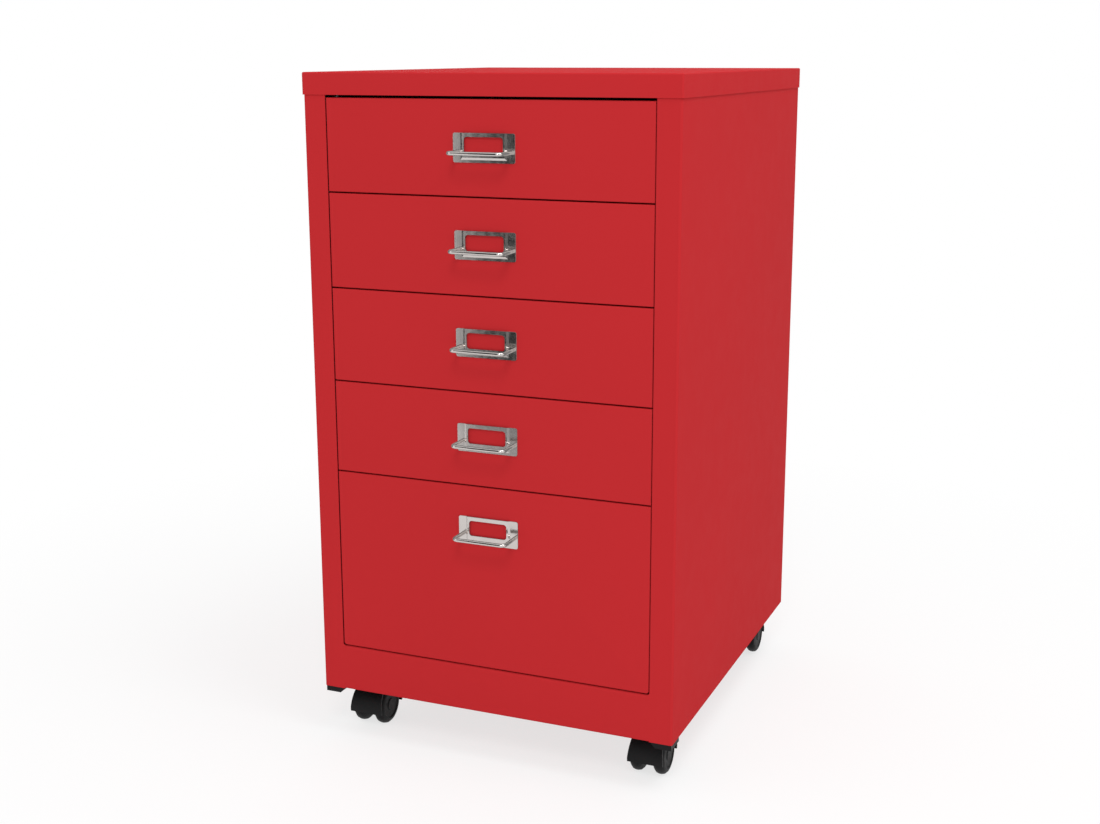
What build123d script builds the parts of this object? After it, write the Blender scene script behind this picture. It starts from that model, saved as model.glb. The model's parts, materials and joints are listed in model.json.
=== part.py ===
from build123d import *
import os

os.makedirs("parts", exist_ok=True)

# Millimetres. X runs left to right, the drawers open towards -Y, +Z is up and the floor is Z = 0.

# Case
CASE_WIDTH = 350.0
CASE_DEPTH = 390.0
CASE_SHEET = 1.0
CASE_BEND = 2.0
STILE_WIDTH = 21.5
REAR_RETURN = 16.0
RAIL_HEIGHT = 44.0
RAIL_RETURN = 16.0
OPENING_CORNER = 2.5
PAN_UPSTAND = 12.0
LID_SKIRT = 19.5
LID_SHEET = 0.8
LID_CLEARANCE = 0.1
LID_EDGE = 1.4
HEAD_RAIL_COVER = 2.0

# Drawers
SMALL_PITCH = 85.5
LARGE_PITCH = 172.0
SMALL_DRAWERS = 4
DRAWER_GAP = 1.3
TOP_GAP = 2.4
SIDE_GAP = 0.9
FRONT_DEPTH = 13.0
FRONT_SHEET = 0.8
FRONT_EDGE = 1.0
INNER_SKIN_MARGIN = 0.5
TRAY_SHEET = 0.8
RIM_CLEARANCE = 1.0
TRAY_BEND = 1.6
TRAY_LIFT = 8.0
RIM_DROP = 12.0
RIM_WIDTH = 9.0

# Runners
RUNNER_SHEET = 1.2
RUNNER_SETBACK = 2.2
RIM_PLAY = 0.8
LEDGE_WIDTH = 7.0
LIP_WIDTH = 5.0
LIP_ROOM = 4.0
PAD_THICKNESS = 2.0
PAD_LENGTH = 25.0
SLIDE_GAP = 0.1
GLIDE_LENGTH = 18.0
GLIDE_SETBACK = 4.3
GLIDE_PLAY = 0.4
REAR_ROOM = 22.5
STOP_GAP = 0.5
POST_WIDTH = 26.0
POST_SETBACK = 8.0
POST_MARGIN = 4.0

# Label holder and wire pull
PLATE_MARGIN = 4.1
PLATE_HEIGHT = 25.1
PLATE_SHEET = 0.8
PLATE_CORNER = 1.8
PLATE_DROP = 28.0
POCKET_INSET = 3.0
POCKET_RAISE = 1.2
POCKET_SLOPE = 58.0
POCKET_FOOT = 2.4
WINDOW_BORDER = 3.4
WINDOW_HEIGHT = 14.1
WINDOW_TOP = 3.4
WINDOW_CORNER = 2.8
WIRE = 3.4
WIRE_SPAN = 49.4
WIRE_HEIGHT = 8.9
WIRE_REACH = 21.5
WIRE_BEND = 4.0
WIRE_TAIL = 2.4
WIRE_HOLE_CLEARANCE = 0.05
RETAINER_SIDE = 9.0
RETAINER_THICKNESS = 0.8

# Corner feet
FOOT_WIDTH = 19.0
FOOT_DEPTH = 22.0
FOOT_HEIGHT = 5.5
FOOT_TAPER = 4.0
FOOT_INSET = 1.0
PEG = 7.0
PEG_LENGTH = 6.0
PEG_CLEARANCE = 0.1

# Castors
SIDE_INSET = 32.0
FRONT_INSET = 54.0
REAR_INSET = 47.0
TRAIL = 12.0
WHEEL_RADIUS = 19.0
WHEEL_WIDTH = 10.8
WHEEL_GAP = 11.4
WHEEL_SIDE_PLAY = 0.4
TREAD_FLAT = 1.6
TREAD_STEPS = 3
RIM_FACE = 0.9
DISH_DEPTH = 0.8
HUB_RADIUS = 5.5
AXLE = 5.0
AXLE_CLEARANCE = 0.03
AXLE_COVER = 2.4
AXLE_END_PLAY = 0.3
HOOD_PLAY = 1.0
HOOD_WALL = 1.8
HOOD_LAP = 0.4
HOOD_TAPER = 2.4
HOOD_SKIRT = 3.6
HOOD_HEADROOM = 6.2
AXLE_BOSS = 6.5
COLLAR_RADIUS = 10.0
COLLAR_PLAY = 0.2
KINGPIN = 7.0
KINGPIN_CLEARANCE = 0.04
KINGPIN_END_PLAY = 1.0
BORE_FLOOR = 2.6
CASTOR_PLATE = 42.0
CASTOR_PLATE_SHEET = 2.0
CASTOR_PLATE_CORNER = 5.0

# Levels and planes that follow from the sizes above
WHEEL_OUTER = WHEEL_GAP / 2 + WHEEL_WIDTH
TREAD_ROUND = (WHEEL_WIDTH - TREAD_FLAT) / 2
DISH_RADIUS = WHEEL_RADIUS - TREAD_ROUND - RIM_FACE
HOOD_INNER = WHEEL_RADIUS + HOOD_PLAY
HOOD_OUTER = HOOD_INNER + HOOD_WALL
HOOD_HALF_WIDTH = WHEEL_OUTER + HOOD_LAP
HOOD_EDGE = WHEEL_RADIUS - HOOD_SKIRT
HOOD_CROWN = WHEEL_RADIUS + HOOD_OUTER
WEB_HALF = WHEEL_GAP / 2 - WHEEL_SIDE_PLAY
BORE_END = HOOD_EDGE + BORE_FLOOR
PLATE_UNDERSIDE = HOOD_CROWN + HOOD_HEADROOM
COLLAR_TOP = PLATE_UNDERSIDE - COLLAR_PLAY
PAN_BOTTOM = PLATE_UNDERSIDE + CASTOR_PLATE_SHEET
PAN_TOP = PAN_BOTTOM + CASE_SHEET
BASE = PAN_BOTTOM - CASE_SHEET
CASE_HEIGHT = RAIL_HEIGHT + LARGE_PITCH + SMALL_DRAWERS * SMALL_PITCH + LID_SKIRT
LID_TOP = BASE + CASE_HEIGHT
CASE_TOP = LID_TOP - LID_SHEET
SKIRT_BOTTOM = LID_TOP - LID_SKIRT
RAIL_TOP = BASE + RAIL_HEIGHT
LID_OVERHANG = LID_SHEET + LID_CLEARANCE
PULL_PROJECTION = WIRE_REACH + WIRE / 2
FRONT = (PULL_PROJECTION - CASE_DEPTH - LID_OVERHANG) / 2
BACK = FRONT + CASE_DEPTH
SIDE = CASE_WIDTH / 2
SIDE_INNER = SIDE - CASE_SHEET
OPENING = SIDE - STILE_WIDTH
BACK_PANEL_FRONT = BACK - 2 * CASE_SHEET
FRONT_HALF = OPENING - SIDE_GAP
SKIN_FRONT = FRONT + FRONT_DEPTH
TRAY_FRONT = SKIN_FRONT + TRAY_SHEET
RIM_EDGE = OPENING - RIM_CLEARANCE
TRAY_HALF = RIM_EDGE - RIM_WIDTH
WEB_INNER = RIM_EDGE + RIM_PLAY
WEB_OUTER = WEB_INNER + RUNNER_SHEET
RUNNER_FRONT = TRAY_FRONT + RUNNER_SETBACK
RUNNER_BACK = BACK_PANEL_FRONT - REAR_ROOM
TRAY_BACK = RUNNER_BACK - RUNNER_SHEET - STOP_GAP
PAD_BACK = RUNNER_FRONT + PAD_LENGTH
GLIDE_FRONT = TRAY_BACK - GLIDE_SETBACK - GLIDE_LENGTH
PLATE_WIDTH = WIRE_SPAN + 2 * PLATE_MARGIN
POCKET_WIDTH = WIRE_SPAN - 2 * POCKET_INSET
WINDOW_WIDTH = POCKET_WIDTH - 2 * WINDOW_BORDER


def block(x0, x1, y0, y1, z0, z1):
    return Pos((x0 + x1) / 2, (y0 + y1) / 2, (z0 + z1) / 2) * Box(x1 - x0, y1 - y0, z1 - z0)


def rod(x, y, z0, z1, diameter):
    return Pos(x, y, (z0 + z1) / 2) * Cylinder(diameter / 2, z1 - z0)


def rod_y(x, z, y0, y1, diameter):
    return Pos(x, (y0 + y1) / 2, z) * Rot(90, 0, 0) * Cylinder(diameter / 2, y1 - y0)


def rod_x(y, z, x0, x1, radius):
    return Pos((x0 + x1) / 2, y, z) * Rot(0, 90, 0) * Cylinder(radius, x1 - x0)


def folded(points, sheet, bend):
    line = FilletPolyline(*points, radius=bend)
    return make_face(offset(line, amount=sheet, side=Side.LEFT))


def along_x(profile, x0, x1):
    face = Plane(origin=(x0, 0, 0), x_dir=(0, 1, 0), z_dir=(1, 0, 0)) * profile
    return extrude(face, amount=x1 - x0)


def along_y(profile, y0, y1):
    face = Plane(origin=(0, y1, 0), x_dir=(1, 0, 0), z_dir=(0, -1, 0)) * profile
    return extrude(face, amount=y1 - y0)


def along_z(profile, z0, z1):
    return extrude(Pos(0, 0, z0) * profile, amount=z1 - z0)


def save(name, *solids):
    shape = solids[0] if len(solids) == 1 else Compound(children=list(solids))
    shape.label = name
    export_step(shape, "parts/" + name + ".step")


def flip(solid):
    return mirror(solid, about=Plane.YZ)


# Drawer cells from the top down: number, lower and upper edge of the front
def drawer_cells():
    cells = []
    upper = SKIRT_BOTTOM
    pitches = [SMALL_PITCH] * SMALL_DRAWERS + [LARGE_PITCH]
    for number, pitch in enumerate(pitches, start=1):
        lower = upper - pitch
        top_edge = upper - TOP_GAP if number == 1 else upper
        cells.append((number, lower + DRAWER_GAP, top_edge))
        upper = lower
    return cells


def rim_top(front_top):
    return front_top - RIM_DROP


def ledge_top(front_top):
    return rim_top(front_top) - TRAY_SHEET - SLIDE_GAP - PAD_THICKNESS


def lip_bottom(front_top):
    return rim_top(front_top) + LIP_ROOM


# Case panels
def side_panel():
    line = [
        (OPENING, FRONT),
        (SIDE, FRONT),
        (SIDE, BACK),
        (SIDE - REAR_RETURN, BACK),
    ]
    return along_z(folded(line, CASE_SHEET, CASE_BEND), BASE, CASE_TOP)


def back_panel():
    half = SIDE - CASE_BEND
    return block(-half, half, BACK_PANEL_FRONT, BACK - CASE_SHEET, BASE, CASE_TOP)


def lid():
    outer = block(
        -SIDE - LID_OVERHANG,
        SIDE + LID_OVERHANG,
        FRONT - LID_OVERHANG,
        BACK + LID_OVERHANG,
        SKIRT_BOTTOM,
        LID_TOP,
    )
    upright = outer.edges().filter_by(Axis.Z)
    outer = fillet(upright + outer.faces().sort_by(Axis.Z)[-1].edges(), LID_EDGE)
    inner = block(
        -SIDE - LID_CLEARANCE,
        SIDE + LID_CLEARANCE,
        FRONT - LID_CLEARANCE,
        BACK + LID_CLEARANCE,
        SKIRT_BOTTOM,
        CASE_TOP,
    )
    return outer - fillet(inner.edges().filter_by(Axis.Z), LID_EDGE - LID_SHEET)


def rail_corner(sign):
    ear = block(
        OPENING - OPENING_CORNER,
        OPENING,
        FRONT,
        FRONT + CASE_SHEET,
        RAIL_TOP - CASE_BEND,
        RAIL_TOP + OPENING_CORNER,
    )
    hollow = rod_y(
        OPENING - OPENING_CORNER,
        RAIL_TOP + OPENING_CORNER,
        FRONT,
        FRONT + CASE_SHEET,
        2 * OPENING_CORNER,
    )
    ear = ear - hollow
    return ear if sign > 0 else flip(ear)


def front_rail():
    line = [
        (FRONT + RAIL_RETURN, BASE),
        (FRONT, BASE),
        (FRONT, RAIL_TOP),
        (FRONT + RAIL_RETURN, RAIL_TOP),
    ]
    line.reverse()
    rail = along_x(folded(line, CASE_SHEET, CASE_BEND), -OPENING, OPENING)
    return rail + rail_corner(1) + rail_corner(-1)


def head_rail():
    line = [
        (FRONT + RAIL_RETURN, CASE_TOP),
        (FRONT, CASE_TOP),
        (FRONT, SKIRT_BOTTOM + HEAD_RAIL_COVER),
        (FRONT + RAIL_RETURN, SKIRT_BOTTOM + HEAD_RAIL_COVER),
    ]
    return along_x(folded(line, CASE_SHEET, CASE_BEND), -OPENING, OPENING)


def castor_axes():
    return [
        ("front_left", -SIDE + SIDE_INSET, FRONT + FRONT_INSET, -1),
        ("front_right", SIDE - SIDE_INSET, FRONT + FRONT_INSET, -1),
        ("rear_left", -SIDE + SIDE_INSET, BACK - REAR_INSET, 1),
        ("rear_right", SIDE - SIDE_INSET, BACK - REAR_INSET, 1),
    ]


def peg_point(sign):
    return sign * (SIDE - FOOT_INSET - FOOT_WIDTH / 2), FRONT + FOOT_INSET + FOOT_DEPTH / 2


def base_pan():
    line = [
        (-SIDE_INNER, PAN_BOTTOM + PAN_UPSTAND),
        (-SIDE_INNER, PAN_BOTTOM),
        (SIDE_INNER, PAN_BOTTOM),
        (SIDE_INNER, PAN_BOTTOM + PAN_UPSTAND),
    ]
    pan = along_y(folded(line, CASE_SHEET, CASE_BEND), FRONT + CASE_BEND, BACK_PANEL_FRONT)
    for sign in (-1, 1):
        x, y = peg_point(sign)
        pan -= rod(x, y, BASE, PAN_TOP, PEG + 2 * PEG_CLEARANCE)
    return pan


def corner_foot(sign):
    low = BASE - FOOT_HEIGHT
    outer = SIDE - FOOT_INSET
    front = FRONT + FOOT_INSET
    profile = Polygon(
        (outer - FOOT_WIDTH, BASE),
        (outer - FOOT_WIDTH, BASE - FOOT_HEIGHT / 4),
        (outer - FOOT_WIDTH + FOOT_TAPER, low),
        (outer, low),
        (outer, BASE),
        align=None,
    )
    foot = along_y(profile, front, front + FOOT_DEPTH)
    seat = SIDE - CASE_BEND
    foot += block(outer - FOOT_WIDTH, seat, FRONT + CASE_BEND, front + FOOT_DEPTH, BASE, PAN_BOTTOM)
    x, y = peg_point(1)
    foot += rod(x, y, PAN_BOTTOM, PAN_BOTTOM + PEG_LENGTH, PEG)
    return foot if sign > 0 else flip(foot)


# Runner system behind the stiles
def post(y0):
    line = [
        (SIDE_INNER, y0),
        (WEB_OUTER, y0),
        (WEB_OUTER, y0 + POST_WIDTH),
        (SIDE_INNER, y0 + POST_WIDTH),
    ]
    line.reverse()
    low = PAN_BOTTOM + PAN_UPSTAND + POST_MARGIN
    return along_z(folded(line, CASE_SHEET, CASE_BEND), low, CASE_TOP - CASE_SHEET - POST_MARGIN)


def runner(front_top):
    ledge = ledge_top(front_top)
    lip = lip_bottom(front_top)
    line = [
        (WEB_OUTER - RUNNER_SHEET - LEDGE_WIDTH, ledge - RUNNER_SHEET),
        (WEB_OUTER, ledge - RUNNER_SHEET),
        (WEB_OUTER, lip + RUNNER_SHEET),
        (WEB_OUTER - RUNNER_SHEET - LIP_WIDTH, lip + RUNNER_SHEET),
    ]
    channel = along_y(folded(line, RUNNER_SHEET, CASE_BEND), RUNNER_FRONT, RUNNER_BACK)
    stop = block(
        WEB_INNER - LIP_WIDTH,
        WEB_INNER,
        RUNNER_BACK - RUNNER_SHEET,
        RUNNER_BACK,
        ledge,
        lip,
    )
    return channel + stop


def runner_pad(front_top):
    ledge = ledge_top(front_top)
    return block(
        WEB_INNER - LEDGE_WIDTH,
        WEB_INNER - CASE_BEND,
        RUNNER_FRONT,
        PAD_BACK,
        ledge,
        ledge + PAD_THICKNESS,
    )


# Drawer pieces
def drawer_front(low, top, lowest):
    shell = block(-FRONT_HALF, FRONT_HALF, FRONT, SKIN_FRONT, low, top)
    if lowest:
        feet = shell.edges().filter_by(Axis.Y).group_by(Axis.Z)[0]
        shell = fillet(feet, OPENING_CORNER)
    shell = fillet(shell.faces().sort_by(Axis.Y)[0].edges(), FRONT_EDGE)
    hollow = block(
        -FRONT_HALF + FRONT_SHEET,
        FRONT_HALF - FRONT_SHEET,
        FRONT + FRONT_SHEET,
        SKIN_FRONT,
        low + FRONT_SHEET,
        top - FRONT_SHEET,
    )
    if lowest:
        corners = hollow.edges().filter_by(Axis.Y).group_by(Axis.Z)[0]
        hollow = fillet(corners, OPENING_CORNER - FRONT_SHEET)
    shell -= hollow
    for x in (-WIRE_SPAN / 2, WIRE_SPAN / 2):
        shell -= rod_y(x, wire_level(top), FRONT, FRONT + FRONT_SHEET, WIRE + 2 * WIRE_HOLE_CLEARANCE)
    return shell


def drawer_tray(low, top):
    rim = rim_top(top)
    bottom = low + TRAY_LIFT
    body = block(-TRAY_HALF, TRAY_HALF, SKIN_FRONT, TRAY_BACK, bottom, rim)
    folds = body.edges().filter_by(Axis.Y).group_by(Axis.Z)[0]
    body = fillet(folds, TRAY_BEND)
    room = block(
        -TRAY_HALF + TRAY_SHEET,
        TRAY_HALF - TRAY_SHEET,
        TRAY_FRONT,
        TRAY_BACK - TRAY_SHEET,
        bottom + TRAY_SHEET,
        rim,
    )
    corners = room.edges().filter_by(Axis.Y).group_by(Axis.Z)[0]
    room = fillet(corners, TRAY_BEND - TRAY_SHEET)
    skin = block(
        -FRONT_HALF + INNER_SKIN_MARGIN,
        FRONT_HALF - INNER_SKIN_MARGIN,
        SKIN_FRONT,
        TRAY_FRONT,
        low + INNER_SKIN_MARGIN,
        top - INNER_SKIN_MARGIN,
    )
    corners = skin.edges().filter_by(Axis.Y).group_by(Axis.Z)[0]
    skin = fillet(corners, OPENING_CORNER)
    tray = body - room + skin
    for sign in (-1, 1):
        inner, outer = sorted((sign * (TRAY_HALF - TRAY_SHEET), sign * RIM_EDGE))
        tray += block(inner, outer, TRAY_FRONT, TRAY_BACK, rim - TRAY_SHEET, rim)
    return tray


def rear_glide(top):
    rim = rim_top(top)
    inner = WEB_INNER - LEDGE_WIDTH
    shoe = block(
        inner,
        RIM_EDGE + RIM_PLAY / 2,
        GLIDE_FRONT,
        GLIDE_FRONT + GLIDE_LENGTH,
        ledge_top(top) + SLIDE_GAP,
        lip_bottom(top) - GLIDE_PLAY,
    )
    shoe = fillet(shoe.edges().filter_by(Axis.Y).group_by(Axis.X)[-1], CASE_BEND - CASE_SHEET)
    slot = block(inner, RIM_EDGE, GLIDE_FRONT, GLIDE_FRONT + GLIDE_LENGTH, rim - TRAY_SHEET, rim)
    return shoe - slot


def wire_level(top):
    return top - PLATE_DROP - PLATE_HEIGHT + WIRE_HEIGHT


def pocket(low, depth):
    height = PLATE_HEIGHT + PLATE_DROP / 2
    middle = low + POCKET_FOOT + height / 2
    face = Plane(origin=(0, FRONT - depth, middle), x_dir=(1, 0, 0), z_dir=(0, -1, 0))
    return extrude(face * Rectangle(POCKET_WIDTH, height), amount=POCKET_RAISE, taper=POCKET_SLOPE)


def label_plate(top):
    plate_top = top - PLATE_DROP
    low = plate_top - PLATE_HEIGHT
    middle = (plate_top + low) / 2
    face = Plane(origin=(0, FRONT, middle), x_dir=(1, 0, 0), z_dir=(0, -1, 0))
    flat = extrude(face * RectangleRounded(PLATE_WIDTH, PLATE_HEIGHT, PLATE_CORNER), amount=PLATE_SHEET)
    reach = PLATE_SHEET + POCKET_RAISE
    room = block(-PLATE_WIDTH, PLATE_WIDTH, FRONT - reach, FRONT, low, plate_top)
    plate = (flat + pocket(low, PLATE_SHEET) - pocket(low, 0)) & room
    window_middle = plate_top - WINDOW_TOP - WINDOW_HEIGHT / 2
    face = Plane(origin=(0, FRONT, window_middle), x_dir=(1, 0, 0), z_dir=(0, -1, 0))
    plate -= extrude(face * RectangleRounded(WINDOW_WIDTH, WINDOW_HEIGHT, WINDOW_CORNER), amount=reach)
    for x in (-WIRE_SPAN / 2, WIRE_SPAN / 2):
        plate -= rod_y(x, wire_level(top), FRONT - reach, FRONT, WIRE + 2 * WIRE_HOLE_CLEARANCE)
    return plate


def wire_pull(top):
    z = wire_level(top)
    half = WIRE_SPAN / 2
    tail = FRONT + FRONT_SHEET + WIRE_TAIL
    bar = FRONT - WIRE_REACH
    path = FilletPolyline((-half, tail, z), (-half, bar, z), (half, bar, z), (half, tail, z), radius=WIRE_BEND)
    start = Plane(origin=(-half, tail, z), z_dir=(0, -1, 0))
    return sweep(start * Circle(WIRE / 2), path=path)


def retainer(top, x):
    seat = FRONT + FRONT_SHEET
    back = seat + RETAINER_THICKNESS
    z = wire_level(top)
    half = RETAINER_SIDE / 2
    nut = block(x - half, x + half, seat, back, z - half, z + half)
    return nut - rod_y(x, z, seat, back, WIRE)


# Castor pieces, drawn about the swivel axis with the wheels trailing towards -Y
def castor_plate():
    sheet = RectangleRounded(CASTOR_PLATE, CASTOR_PLATE, CASTOR_PLATE_CORNER)
    plate = along_z(sheet, PLATE_UNDERSIDE, PAN_BOTTOM)
    return plate - rod(0, 0, PLATE_UNDERSIDE, PAN_BOTTOM, KINGPIN)


def kingpin(x, y):
    return rod(x, y, BORE_END + KINGPIN_END_PLAY, PAN_BOTTOM, KINGPIN)


def housing():
    z = WHEEL_RADIUS
    hood = rod_x(-TRAIL, z, -HOOD_HALF_WIDTH, HOOD_HALF_WIDTH, HOOD_OUTER)
    waist = Polygon(
        (-HOOD_HALF_WIDTH, HOOD_EDGE),
        (HOOD_HALF_WIDTH, HOOD_EDGE),
        (HOOD_HALF_WIDTH, z),
        (HOOD_HALF_WIDTH - HOOD_TAPER, HOOD_CROWN),
        (HOOD_TAPER - HOOD_HALF_WIDTH, HOOD_CROWN),
        (-HOOD_HALF_WIDTH, z),
        align=None,
    )
    hood &= along_y(waist, -TRAIL - HOOD_OUTER, -TRAIL + HOOD_OUTER)
    hood += rod(0, 0, z, COLLAR_TOP, 2 * COLLAR_RADIUS)
    hood += rod_x(-TRAIL, z, -WEB_HALF, WEB_HALF, AXLE_BOSS)
    for sign in (-1, 1):
        near, far = sorted((sign * WEB_HALF, sign * (HOOD_HALF_WIDTH + COLLAR_RADIUS)))
        hood -= rod_x(-TRAIL, z, near, far, HOOD_INNER)
    hood -= rod_x(-TRAIL, z, -WEB_HALF, WEB_HALF, AXLE / 2)
    return hood - rod(0, 0, BORE_END, COLLAR_TOP, KINGPIN + 2 * KINGPIN_CLEARANCE)


def axle():
    reach = WHEEL_OUTER - AXLE_COVER - AXLE_END_PLAY
    return rod_x(-TRAIL, WHEEL_RADIUS, -reach, reach, AXLE / 2)


def wheel():
    inner = WHEEL_GAP / 2
    outer = WHEEL_OUTER
    turns = [90.0 * step / TREAD_STEPS for step in range(TREAD_STEPS + 1)]
    bend = [Vector(TREAD_ROUND, 0).rotate(Axis.Z, turn) for turn in turns]
    crown = WHEEL_RADIUS - TREAD_ROUND
    section = Polygon(
        (inner, AXLE / 2 + AXLE_CLEARANCE),
        (outer - AXLE_COVER, AXLE / 2 + AXLE_CLEARANCE),
        (outer - AXLE_COVER, 0),
        (outer, 0),
        (outer, HUB_RADIUS),
        (outer - DISH_DEPTH, HUB_RADIUS + DISH_DEPTH),
        (outer - DISH_DEPTH, DISH_RADIUS - DISH_DEPTH),
        (outer, DISH_RADIUS),
        *[(outer - TREAD_ROUND + step.X, crown + step.Y) for step in bend],
        *[(inner + TREAD_ROUND - step.X, crown + step.Y) for step in reversed(bend)],
        align=None,
    )
    return Pos(0, -TRAIL, WHEEL_RADIUS) * revolve(section, Axis.X)


# Case
right_side = side_panel()
save("side_panel_right", right_side)
save("side_panel_left", flip(right_side))
save("back_panel", back_panel())
save("lid", lid())
save("front_rails", front_rail(), head_rail())
save("base_pan", base_pan())
save("corner_feet", corner_foot(-1), corner_foot(1))

front_post = post(RUNNER_FRONT + POST_SETBACK)
rear_post = post(RUNNER_BACK - POST_SETBACK - POST_WIDTH)
save("runner_posts", front_post, rear_post, flip(front_post), flip(rear_post))

cells = drawer_cells()
runners = [runner(top) for number, low, top in cells]
pads = [runner_pad(top) for number, low, top in cells]
save("runners_right", *runners)
save("runners_left", *[flip(piece) for piece in runners])
save("runner_pads", *pads, *[flip(piece) for piece in pads])

# Drawers
for number, low, top in cells:
    stem = "drawer_" + str(number) + "_"
    glide = rear_glide(top)
    save(stem + "front", drawer_front(low, top, number == len(cells)))
    save(stem + "tray", drawer_tray(low, top))
    save(stem + "label_plate", label_plate(top))
    save(stem + "pull", wire_pull(top))
    save(stem + "retainers", retainer(top, -WIRE_SPAN / 2), retainer(top, WIRE_SPAN / 2))
    save(stem + "glides", glide, flip(glide))

# Castors
plates = []
kingpins = []
hood = housing()
pin = axle()
right_wheel = wheel()
left_wheel = flip(right_wheel)
for name, x, y, way in castor_axes():
    place = Pos(x, y, 0) * Rot(0, 0, 0 if way < 0 else 180)
    stem = "castor_" + name + "_"
    save(stem + "housing", place * hood)
    save(stem + "axle", place * pin)
    save(stem + "wheel_a", place * left_wheel)
    save(stem + "wheel_b", place * right_wheel)
    plates.append(Pos(x, y, 0) * castor_plate())
    kingpins.append(kingpin(x, y))
save("castor_plates", *plates)
save("castor_kingpins", *kingpins)
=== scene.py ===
import json
import math

import bmesh
import bpy
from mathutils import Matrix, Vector


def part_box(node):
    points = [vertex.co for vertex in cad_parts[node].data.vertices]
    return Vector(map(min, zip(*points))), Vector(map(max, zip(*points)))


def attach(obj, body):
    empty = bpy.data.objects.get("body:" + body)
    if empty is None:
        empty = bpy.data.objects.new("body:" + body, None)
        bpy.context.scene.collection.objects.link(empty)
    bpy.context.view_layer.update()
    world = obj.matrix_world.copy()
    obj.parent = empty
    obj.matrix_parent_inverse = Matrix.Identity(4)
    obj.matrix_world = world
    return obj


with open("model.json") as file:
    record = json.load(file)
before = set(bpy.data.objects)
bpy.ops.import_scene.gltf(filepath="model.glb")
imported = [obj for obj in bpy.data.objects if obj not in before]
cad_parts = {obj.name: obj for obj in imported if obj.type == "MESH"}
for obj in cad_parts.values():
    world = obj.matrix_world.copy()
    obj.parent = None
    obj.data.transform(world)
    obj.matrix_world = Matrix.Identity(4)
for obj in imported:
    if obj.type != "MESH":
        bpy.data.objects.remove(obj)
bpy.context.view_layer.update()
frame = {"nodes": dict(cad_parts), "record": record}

nodes = frame["nodes"]
scene = bpy.context.scene

# Linear colours
RED = (0.496, 0.0240, 0.0280)
CHROME = (0.61, 0.57, 0.55)
ZINC = (0.50, 0.51, 0.52)
BLACK = (0.0075, 0.0075, 0.0080)
WHEEL = (0.0085, 0.0085, 0.0090)
NYLON = (0.70, 0.69, 0.64)
FLOOR = (0.90, 0.90, 0.90)
WHITE = (1.0, 1.0, 1.0)
# Painted reflection: the grey that the red paint shows in mirror reflections in place of its red
PAINTED_REFLECTION_GREY = (0.30, 0.30, 0.30)

# Bends up to these angles, in degrees, are shaded as round
SMOOTH_ANGLE = 35.0
PLATE_SMOOTH_ANGLE = 20.0
# Points nearer than this, in metres, are welded before shading
WELD_DISTANCE = 1e-6

# The band of a noise texture's output that tones and roughness are spread over
NOISE_LOW, NOISE_HIGH = 0.3, 0.7

# Camera: place in metres, turn in degrees, lens and sensor in millimetres
CAMERA_PLACE = (0.5493, -1.3612, 0.6423)
CAMERA_TURN = (77.154, 0.123, 22.545)
CAMERA_LENS = 49.695
CAMERA_SENSOR = 36.0
CAMERA_SHIFT = -0.0127

SKY_LIGHT = 0.76
LAMPS = {
    "top_lamp": {"place": (1.1, -0.4, 2.4), "target": (0.0, 0.0, 0.4), "size": 1.2, "power": 18.0},
    "front_lamp": {"place": (0.9, -2.6, 2.9), "target": (0.0, 0.0, 0.4), "size": 1.1, "power": 31.0},
}

# Floor: its radius, and how its white share grows away from the object
FLOOR_RADIUS = 6.0
FLOOR_POINTS = 96
FLOOR_ROUGHNESS = 0.9
FADE_START, FADE_END = 0.35, 1.0
WHITE_SHARE_NEAR = 0.72

# Studio cards that only reflections see, which the plates and pulls show as darker bands: grey, corners
WALL = -2.6
LIFT = 0.002
CARDS = {
    "wall_card": (
        0.04, ((-1.21, WALL, 0.0), (-0.5, WALL, 0.0), (-0.5, WALL, 2.0), (-1.21, WALL, 2.0))),
    "upper_card": (
        0.04, ((-1.5, -2.62, 0.85), (-0.9, -2.62, 0.85), (-1.3, -2.62, 4.2), (-2.4, -2.62, 4.2))),
    "floor_card": (
        0.04, ((-0.62, -1.4, LIFT), (-0.25, -1.4, LIFT), (-0.5, WALL, LIFT), (-1.21, WALL, LIFT))),
    "near_card": (
        0.40, ((-0.47, -1.1, LIFT), (-0.19, -1.1, LIFT), (-0.25, -1.4, LIFT), (-0.62, -1.4, LIFT))),
    "left_card": (
        0.04, ((-2.2, -1.0, 0.0), (-2.2, 0.1, 0.0), (-2.2, 0.1, 1.4), (-2.2, -1.0, 1.4))),
    "left_floor_card": (
        0.10, ((-2.2, -1.0, LIFT), (-1.85, -1.0, LIFT), (-1.85, 0.1, LIFT), (-2.2, 0.1, LIFT))),
    "right_card": (
        0.18, ((1.5, WALL, 0.0), (2.5, WALL, 0.0), (2.5, WALL, 2.0), (1.5, WALL, 2.0))),
    "right_floor_card": (
        0.18, ((1.0, -1.6, LIFT), (1.8, -1.6, LIFT), (2.5, WALL, LIFT), (1.5, WALL, LIFT))),
    "right_near_card": (
        0.45, ((0.5, -0.95, LIFT), (0.95, -0.95, LIFT), (1.8, -1.6, LIFT), (1.0, -1.6, LIFT))),
}

# Rings of a screw from the top of its washer to the end of its head: sides, radius, depth under the plate
SCREW_RINGS = (
    (24, 0.0048, 0.0),
    (24, 0.0048, 0.0007),
    (6, 0.0040, 0.0007),
    (6, 0.0040, 0.0023),
    (6, 0.0034, 0.0026),
)
RING_POINTS = 24
# Places of the screws, measured in from the outer edges of the castor plates
SCREW_NEAR, SCREW_FAR = 0.006, 0.036


def opaque(colour):
    return (*colour, 1.0)


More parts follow.
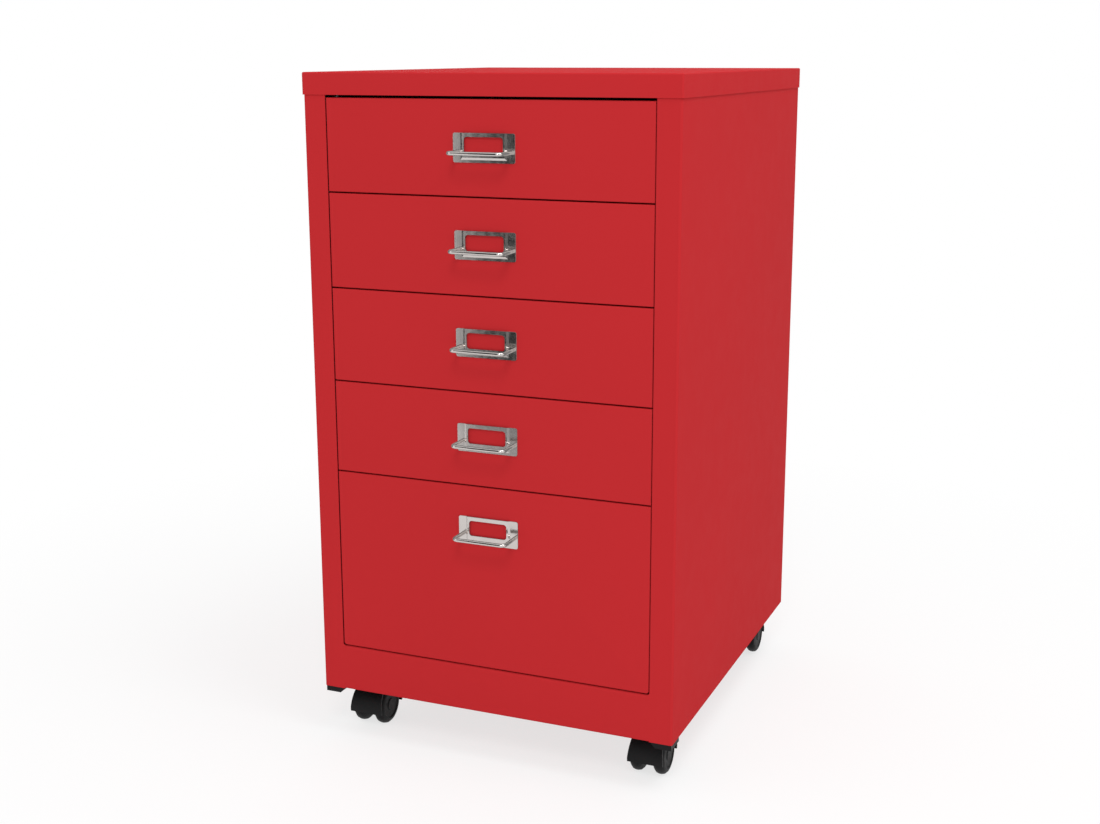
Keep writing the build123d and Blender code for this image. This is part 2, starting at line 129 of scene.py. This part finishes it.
def soft_bends_group():
    """Geometry nodes that weld the mesh and shade it smooth, apart from edges over an angle."""
    group = bpy.data.node_groups.new("soft_bends", "GeometryNodeTree")
    face = group.interface
    face.new_socket("Geometry", in_out="INPUT", socket_type="NodeSocketGeometry")
    face.new_socket("Angle", in_out="INPUT", socket_type="NodeSocketFloat")
    face.new_socket("Geometry", in_out="OUTPUT", socket_type="NodeSocketGeometry")
    make, link = group.nodes.new, group.links.new
    start, end = make("NodeGroupInput"), make("NodeGroupOutput")
    weld = make("GeometryNodeMergeByDistance")
    weld.inputs["Distance"].default_value = WELD_DISTANCE
    bend = make("GeometryNodeInputMeshEdgeAngle")
    sharp = make("FunctionNodeCompare")
    sharp.operation = "GREATER_THAN"
    faces = make("GeometryNodeSetShadeSmooth")
    faces.domain = "FACE"
    edges = make("GeometryNodeSetShadeSmooth")
    edges.domain = "EDGE"
    edges.inputs["Shade Smooth"].default_value = False
    link(start.outputs["Geometry"], weld.inputs["Geometry"])
    link(weld.outputs["Geometry"], faces.inputs["Geometry"])
    link(faces.outputs["Geometry"], edges.inputs["Geometry"])
    link(bend.outputs["Unsigned Angle"], sharp.inputs["A"])
    link(start.outputs["Angle"], sharp.inputs["B"])
    link(sharp.outputs["Result"], edges.inputs["Selection"])
    link(edges.outputs["Geometry"], end.inputs["Geometry"])
    return group


def shaded(obj, group, angle):
    """Smooth shading across soft bends, sharp over the given angle in degrees, as a modifier."""
    modifier = obj.modifiers.new("soft_bends", "NODES")
    modifier.node_group = group
    for item in group.interface.items_tree:
        if item.name == "Angle":
            modifier[item.identifier] = math.radians(angle)


class Shader:
    """One node material built on a Principled shader, textured in the part's own metres."""

    def __init__(self, name, colour, metallic=0.0, specular=0.5):
        self.material = bpy.data.materials.new(name)
        self.material.use_nodes = True
        self.tree = self.material.node_tree
        self.body = self.tree.nodes["Principled BSDF"]
        self.colour = colour
        self.body.inputs["Base Color"].default_value = opaque(colour)
        self.body.inputs["Metallic"].default_value = metallic
        self.body.inputs["Specular IOR Level"].default_value = specular
        self.place = self.tree.nodes.new("ShaderNodeTexCoord").outputs["Object"]

    def stretched(self, scale):
        """The part's own metres, scaled along each axis."""
        mapping = self.tree.nodes.new("ShaderNodeMapping")
        mapping.inputs["Scale"].default_value = scale
        self.tree.links.new(self.place, mapping.inputs["Vector"])
        return mapping.outputs["Vector"]

    def noise(self, scale, detail=2.0, place=None):
        noise = self.tree.nodes.new("ShaderNodeTexNoise")
        noise.inputs["Scale"].default_value = scale
        noise.inputs["Detail"].default_value = detail
        self.tree.links.new(place or self.place, noise.inputs["Vector"])
        return noise.outputs["Fac"]

    def tone(self, value, dark, light):
        """Colour that varies between two factors of the material's own."""
        ramp = self.tree.nodes.new("ShaderNodeValToRGB")
        steps = zip(ramp.color_ramp.elements, (NOISE_LOW, NOISE_HIGH), (dark, light))
        for element, position, factor in steps:
            element.position = position
            element.color = opaque([channel * factor for channel in self.colour])
        self.tree.links.new(value, ramp.inputs["Fac"])
        self.tree.links.new(ramp.outputs["Color"], self.body.inputs["Base Color"])

    def painted_reflection(self, colour):
        """Painted reflection: another colour for the paint in mirror reflections, so that bright metal
        beside the paint stays neutral and shows grey in place of red.
        """
        base = self.body.inputs["Base Color"]
        rays = self.tree.nodes.new("ShaderNodeLightPath")
        mix = self.tree.nodes.new("ShaderNodeMix")
        mix.data_type = "RGBA"
        sockets = {socket.identifier: socket for socket in (*mix.inputs, *mix.outputs)}
        sockets["B_Color"].default_value = opaque(colour)
        self.tree.links.new(rays.outputs["Is Glossy Ray"], sockets["Factor_Float"])
        self.tree.links.new(base.links[0].from_socket, sockets["A_Color"])
        self.tree.links.new(sockets["Result_Color"], base)

    def roughness(self, value, low, high):
        ranged = self.tree.nodes.new("ShaderNodeMapRange")
        ranged.inputs["From Min"].default_value = NOISE_LOW
        ranged.inputs["From Max"].default_value = NOISE_HIGH
        ranged.inputs["To Min"].default_value = low
        ranged.inputs["To Max"].default_value = high
        self.tree.links.new(value, ranged.inputs["Value"])
        self.tree.links.new(ranged.outputs["Result"], self.body.inputs["Roughness"])

    def bump(self, value, depth, strength):
        bump = self.tree.nodes.new("ShaderNodeBump")
        bump.inputs["Strength"].default_value = strength
        bump.inputs["Distance"].default_value = depth
        self.tree.links.new(value, bump.inputs["Height"])
        self.tree.links.new(bump.outputs["Normal"], self.body.inputs["Normal"])


def red_paint():
    paint = Shader("red_powder_coat", RED, specular=0.02)
    paint.tone(paint.noise(scale=5.0), dark=0.99, light=1.01)
    # Painted reflection: the paint shows as grey in the chrome's reflections
    paint.painted_reflection(PAINTED_REFLECTION_GREY)
    paint.roughness(paint.noise(scale=60.0), low=0.68, high=0.76)
    paint.bump(paint.noise(scale=650.0, detail=1.0), depth=0.00006, strength=0.35)
    return paint.material


def bright_chrome():
    chrome = Shader("bright_chrome", CHROME, metallic=1.0)
    chrome.tone(chrome.noise(scale=90.0), dark=0.96, light=1.04)
    chrome.roughness(chrome.noise(scale=220.0), low=0.09, high=0.16)
    brushed = chrome.stretched((1.0, 1.0, 0.08))
    chrome.bump(chrome.noise(scale=900.0, place=brushed), depth=0.00002, strength=0.10)
    return chrome.material


def zinc_steel():
    zinc = Shader("zinc_steel", ZINC, metallic=1.0)
    zinc.tone(zinc.noise(scale=120.0, detail=3.0), dark=0.88, light=1.10)
    zinc.roughness(zinc.noise(scale=160.0), low=0.30, high=0.45)
    zinc.bump(zinc.noise(scale=500.0), depth=0.00003, strength=0.3)
    return zinc.material


def black_plastic():
    plastic = Shader("black_plastic", BLACK, specular=0.14)
    plastic.tone(plastic.noise(scale=80.0), dark=0.85, light=1.2)
    plastic.roughness(plastic.noise(scale=300.0), low=0.42, high=0.55)
    plastic.bump(plastic.noise(scale=1400.0), depth=0.00005, strength=0.4)
    return plastic.material


def wheel_plastic():
    tread = Shader("wheel_plastic", WHEEL, specular=0.14)
    tread.tone(tread.noise(scale=140.0, detail=3.0), dark=0.88, light=1.15)
    tread.roughness(tread.noise(scale=260.0), low=0.45, high=0.6)
    tread.bump(tread.noise(scale=1100.0), depth=0.00006, strength=0.4)
    return tread.material


def natural_nylon():
    nylon = Shader("natural_nylon", NYLON, specular=0.4)
    nylon.tone(nylon.noise(scale=60.0), dark=0.95, light=1.03)
    nylon.roughness(nylon.noise(scale=300.0), low=0.4, high=0.5)
    nylon.bump(nylon.noise(scale=1200.0), depth=0.00004, strength=0.3)
    return nylon.material


def dress(finishes):
    """Gives every CAD node the material of its slot, and soft shading."""
    group = soft_bends_group()
    for part in frame["record"]["subparts"]:
        obj = nodes[part["node"]]
        obj.data.materials.clear()
        obj.data.materials.append(finishes[part["material_slot"]])
        plate = part["node"].endswith("label_plate")
        shaded(obj, group, PLATE_SMOOTH_ANGLE if plate else SMOOTH_ANGLE)


def ring(sides, radius):
    """RING_POINTS points spread evenly along the edges of a regular polygon."""
    turns = [2 * math.pi * side / sides for side in range(sides + 1)]
    corners = [Vector((radius * math.cos(turn), radius * math.sin(turn))) for turn in turns]
    steps = RING_POINTS // sides
    return [
        start.lerp(end, step / steps)
        for start, end in zip(corners, corners[1:])
        for step in range(steps)
    ]


def add_screw(mesh, x, y, top):
    """One closed shell: washer and hexagon head, with its lower edge bevelled."""
    loops = [
        [mesh.verts.new((x + point.x, y + point.y, top - depth)) for point in ring(sides, radius)]
        for sides, radius, depth in SCREW_RINGS
    ]
    mesh.faces.new(loops[0])
    mesh.faces.new(reversed(loops[-1]))
    for above, below in zip(loops, loops[1:]):
        for here in range(RING_POINTS):
            after = (here + 1) % RING_POINTS
            mesh.faces.new((above[here], below[here], below[after], above[after]))


def castor_screws(material):
    """Hexagon screws with washers that hold the castor plates up to the base pan."""
    low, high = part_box("castor_plates")
    mesh = bmesh.new()
    for x in (low[0] + SCREW_NEAR, low[0] + SCREW_FAR, high[0] - SCREW_FAR, high[0] - SCREW_NEAR):
        for y in (low[1] + SCREW_NEAR, low[1] + SCREW_FAR, high[1] - SCREW_FAR, high[1] - SCREW_NEAR):
            add_screw(mesh, x, y, low[2])
    data = bpy.data.meshes.new("castor_screws")
    mesh.to_mesh(data)
    mesh.free()
    screws = bpy.data.objects.new("castor_screws", data)
    scene.collection.objects.link(screws)
    data.materials.append(material)
    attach(screws, "case")


def seen(tree):
    """1 where the camera, a reflection or a clear material looks at the surface, otherwise 0."""
    rays = tree.nodes.new("ShaderNodeLightPath")
    value = rays.outputs["Is Camera Ray"]
    for name in ("Is Glossy Ray", "Is Transmission Ray"):
        either = tree.nodes.new("ShaderNodeMath")
        either.operation = "MAXIMUM"
        tree.links.new(value, either.inputs[0])
        tree.links.new(rays.outputs[name], either.inputs[1])
        value = either.outputs["Value"]
    return value


def grey_card(name, grey, corners):
    """Studio card that only reflections see, so that bright metal has something darker to show."""
    mesh = bpy.data.meshes.new(name)
    mesh.from_pydata(corners, [], [range(len(corners))])
    card = bpy.data.objects.new(name, mesh)
    scene.collection.objects.link(card)
    for rays in ("camera", "diffuse", "transmission", "volume_scatter", "shadow"):
        setattr(card, "visible_" + rays, False)
    material = bpy.data.materials.new(name)
    material.use_nodes = True
    tree = material.node_tree
    glow = tree.nodes.new("ShaderNodeEmission")
    glow.inputs["Color"].default_value = opaque((grey, grey, grey))
    tree.links.new(glow.outputs["Emission"], tree.nodes["Material Output"].inputs["Surface"])
    mesh.materials.append(material)


def stage_floor():
    """Pale floor that fades to the white of the background, and is clear from below."""
    bpy.ops.mesh.primitive_circle_add(
        vertices=FLOOR_POINTS, radius=FLOOR_RADIUS, fill_type="NGON", location=(0, 0, 0))
    floor = bpy.context.object
    floor.name = "floor"
    material = bpy.data.materials.new("pale_floor")
    material.use_nodes = True
    tree = material.node_tree
    make, link = tree.nodes.new, tree.links.new
    matt = tree.nodes["Principled BSDF"]
    matt.inputs["Base Color"].default_value = opaque(FLOOR)
    matt.inputs["Roughness"].default_value = FLOOR_ROUGHNESS
    matt.inputs["Specular IOR Level"].default_value = 0.0
    white = make("ShaderNodeEmission")
    away = make("ShaderNodeVectorMath")
    away.operation = "LENGTH"
    fade = make("ShaderNodeMapRange")
    fade.inputs["From Min"].default_value = FADE_START
    fade.inputs["From Max"].default_value = FADE_END
    fade.inputs["To Min"].default_value = WHITE_SHARE_NEAR
    both = make("ShaderNodeMath")
    both.operation = "MULTIPLY"
    mix = make("ShaderNodeMixShader")
    sides = make("ShaderNodeMixShader")
    link(make("ShaderNodeTexCoord").outputs["Object"], away.inputs[0])
    link(away.outputs["Value"], fade.inputs["Value"])
    link(fade.outputs["Result"], both.inputs[0])
    link(seen(tree), both.inputs[1])
    link(both.outputs["Value"], mix.inputs["Fac"])
    link(matt.outputs["BSDF"], mix.inputs[1])
    link(white.outputs["Emission"], mix.inputs[2])
    link(make("ShaderNodeNewGeometry").outputs["Backfacing"], sides.inputs["Fac"])
    link(mix.outputs["Shader"], sides.inputs[1])
    link(make("ShaderNodeBsdfTransparent").outputs["BSDF"], sides.inputs[2])
    link(sides.outputs["Shader"], tree.nodes["Material Output"].inputs["Surface"])
    floor.data.materials.append(material)


def sky():
    """Even soft light, seen by the camera and in reflections as plain white."""
    world = bpy.data.worlds.new("soft_sky")
    scene.world = world
    world.use_nodes = True
    tree = world.node_tree
    make, link = tree.nodes.new, tree.links.new
    light = tree.nodes["Background"]
    light.inputs["Color"].default_value = opaque(WHITE)
    light.inputs["Strength"].default_value = SKY_LIGHT
    white = make("ShaderNodeBackground")
    white.inputs["Color"].default_value = opaque(WHITE)
    mix = make("ShaderNodeMixShader")
    link(seen(tree), mix.inputs["Fac"])
    link(light.outputs["Background"], mix.inputs[1])
    link(white.outputs["Background"], mix.inputs[2])
    link(mix.outputs["Shader"], tree.nodes["World Output"].inputs["Surface"])


def area_light(name, place, target, size, power):
    data = bpy.data.lights.new(name, "AREA")
    data.shape = "DISK"
    data.size = size
    data.energy = power
    lamp = bpy.data.objects.new(name, data)
    lamp.location = place
    lamp.rotation_euler = (Vector(target) - Vector(place)).to_track_quat("-Z", "Y").to_euler()
    scene.collection.objects.link(lamp)


def photo_camera():
    data = bpy.data.cameras.new("photo_camera")
    data.lens = CAMERA_LENS
    data.sensor_fit = "HORIZONTAL"
    data.sensor_width = CAMERA_SENSOR
    data.shift_y = CAMERA_SHIFT
    camera = bpy.data.objects.new("photo_camera", data)
    camera.location = CAMERA_PLACE
    camera.rotation_euler = [math.radians(angle) for angle in CAMERA_TURN]
    scene.collection.objects.link(camera)
    scene.camera = camera


finishes = {
    "red_paint": red_paint(),
    "chrome": bright_chrome(),
    "zinc_steel": zinc_steel(),
    "black_plastic": black_plastic(),
    "wheel_plastic": wheel_plastic(),
    "nylon": natural_nylon(),
}
dress(finishes)
castor_screws(finishes["zinc_steel"])
stage_floor()
sky()
for name, (grey, corners) in CARDS.items():
    grey_card(name, grey, corners)
for name, lamp in LAMPS.items():
    area_light(name, **lamp)
photo_camera()
scene.view_settings.view_transform = "Standard"

bpy.context.view_layer.update()
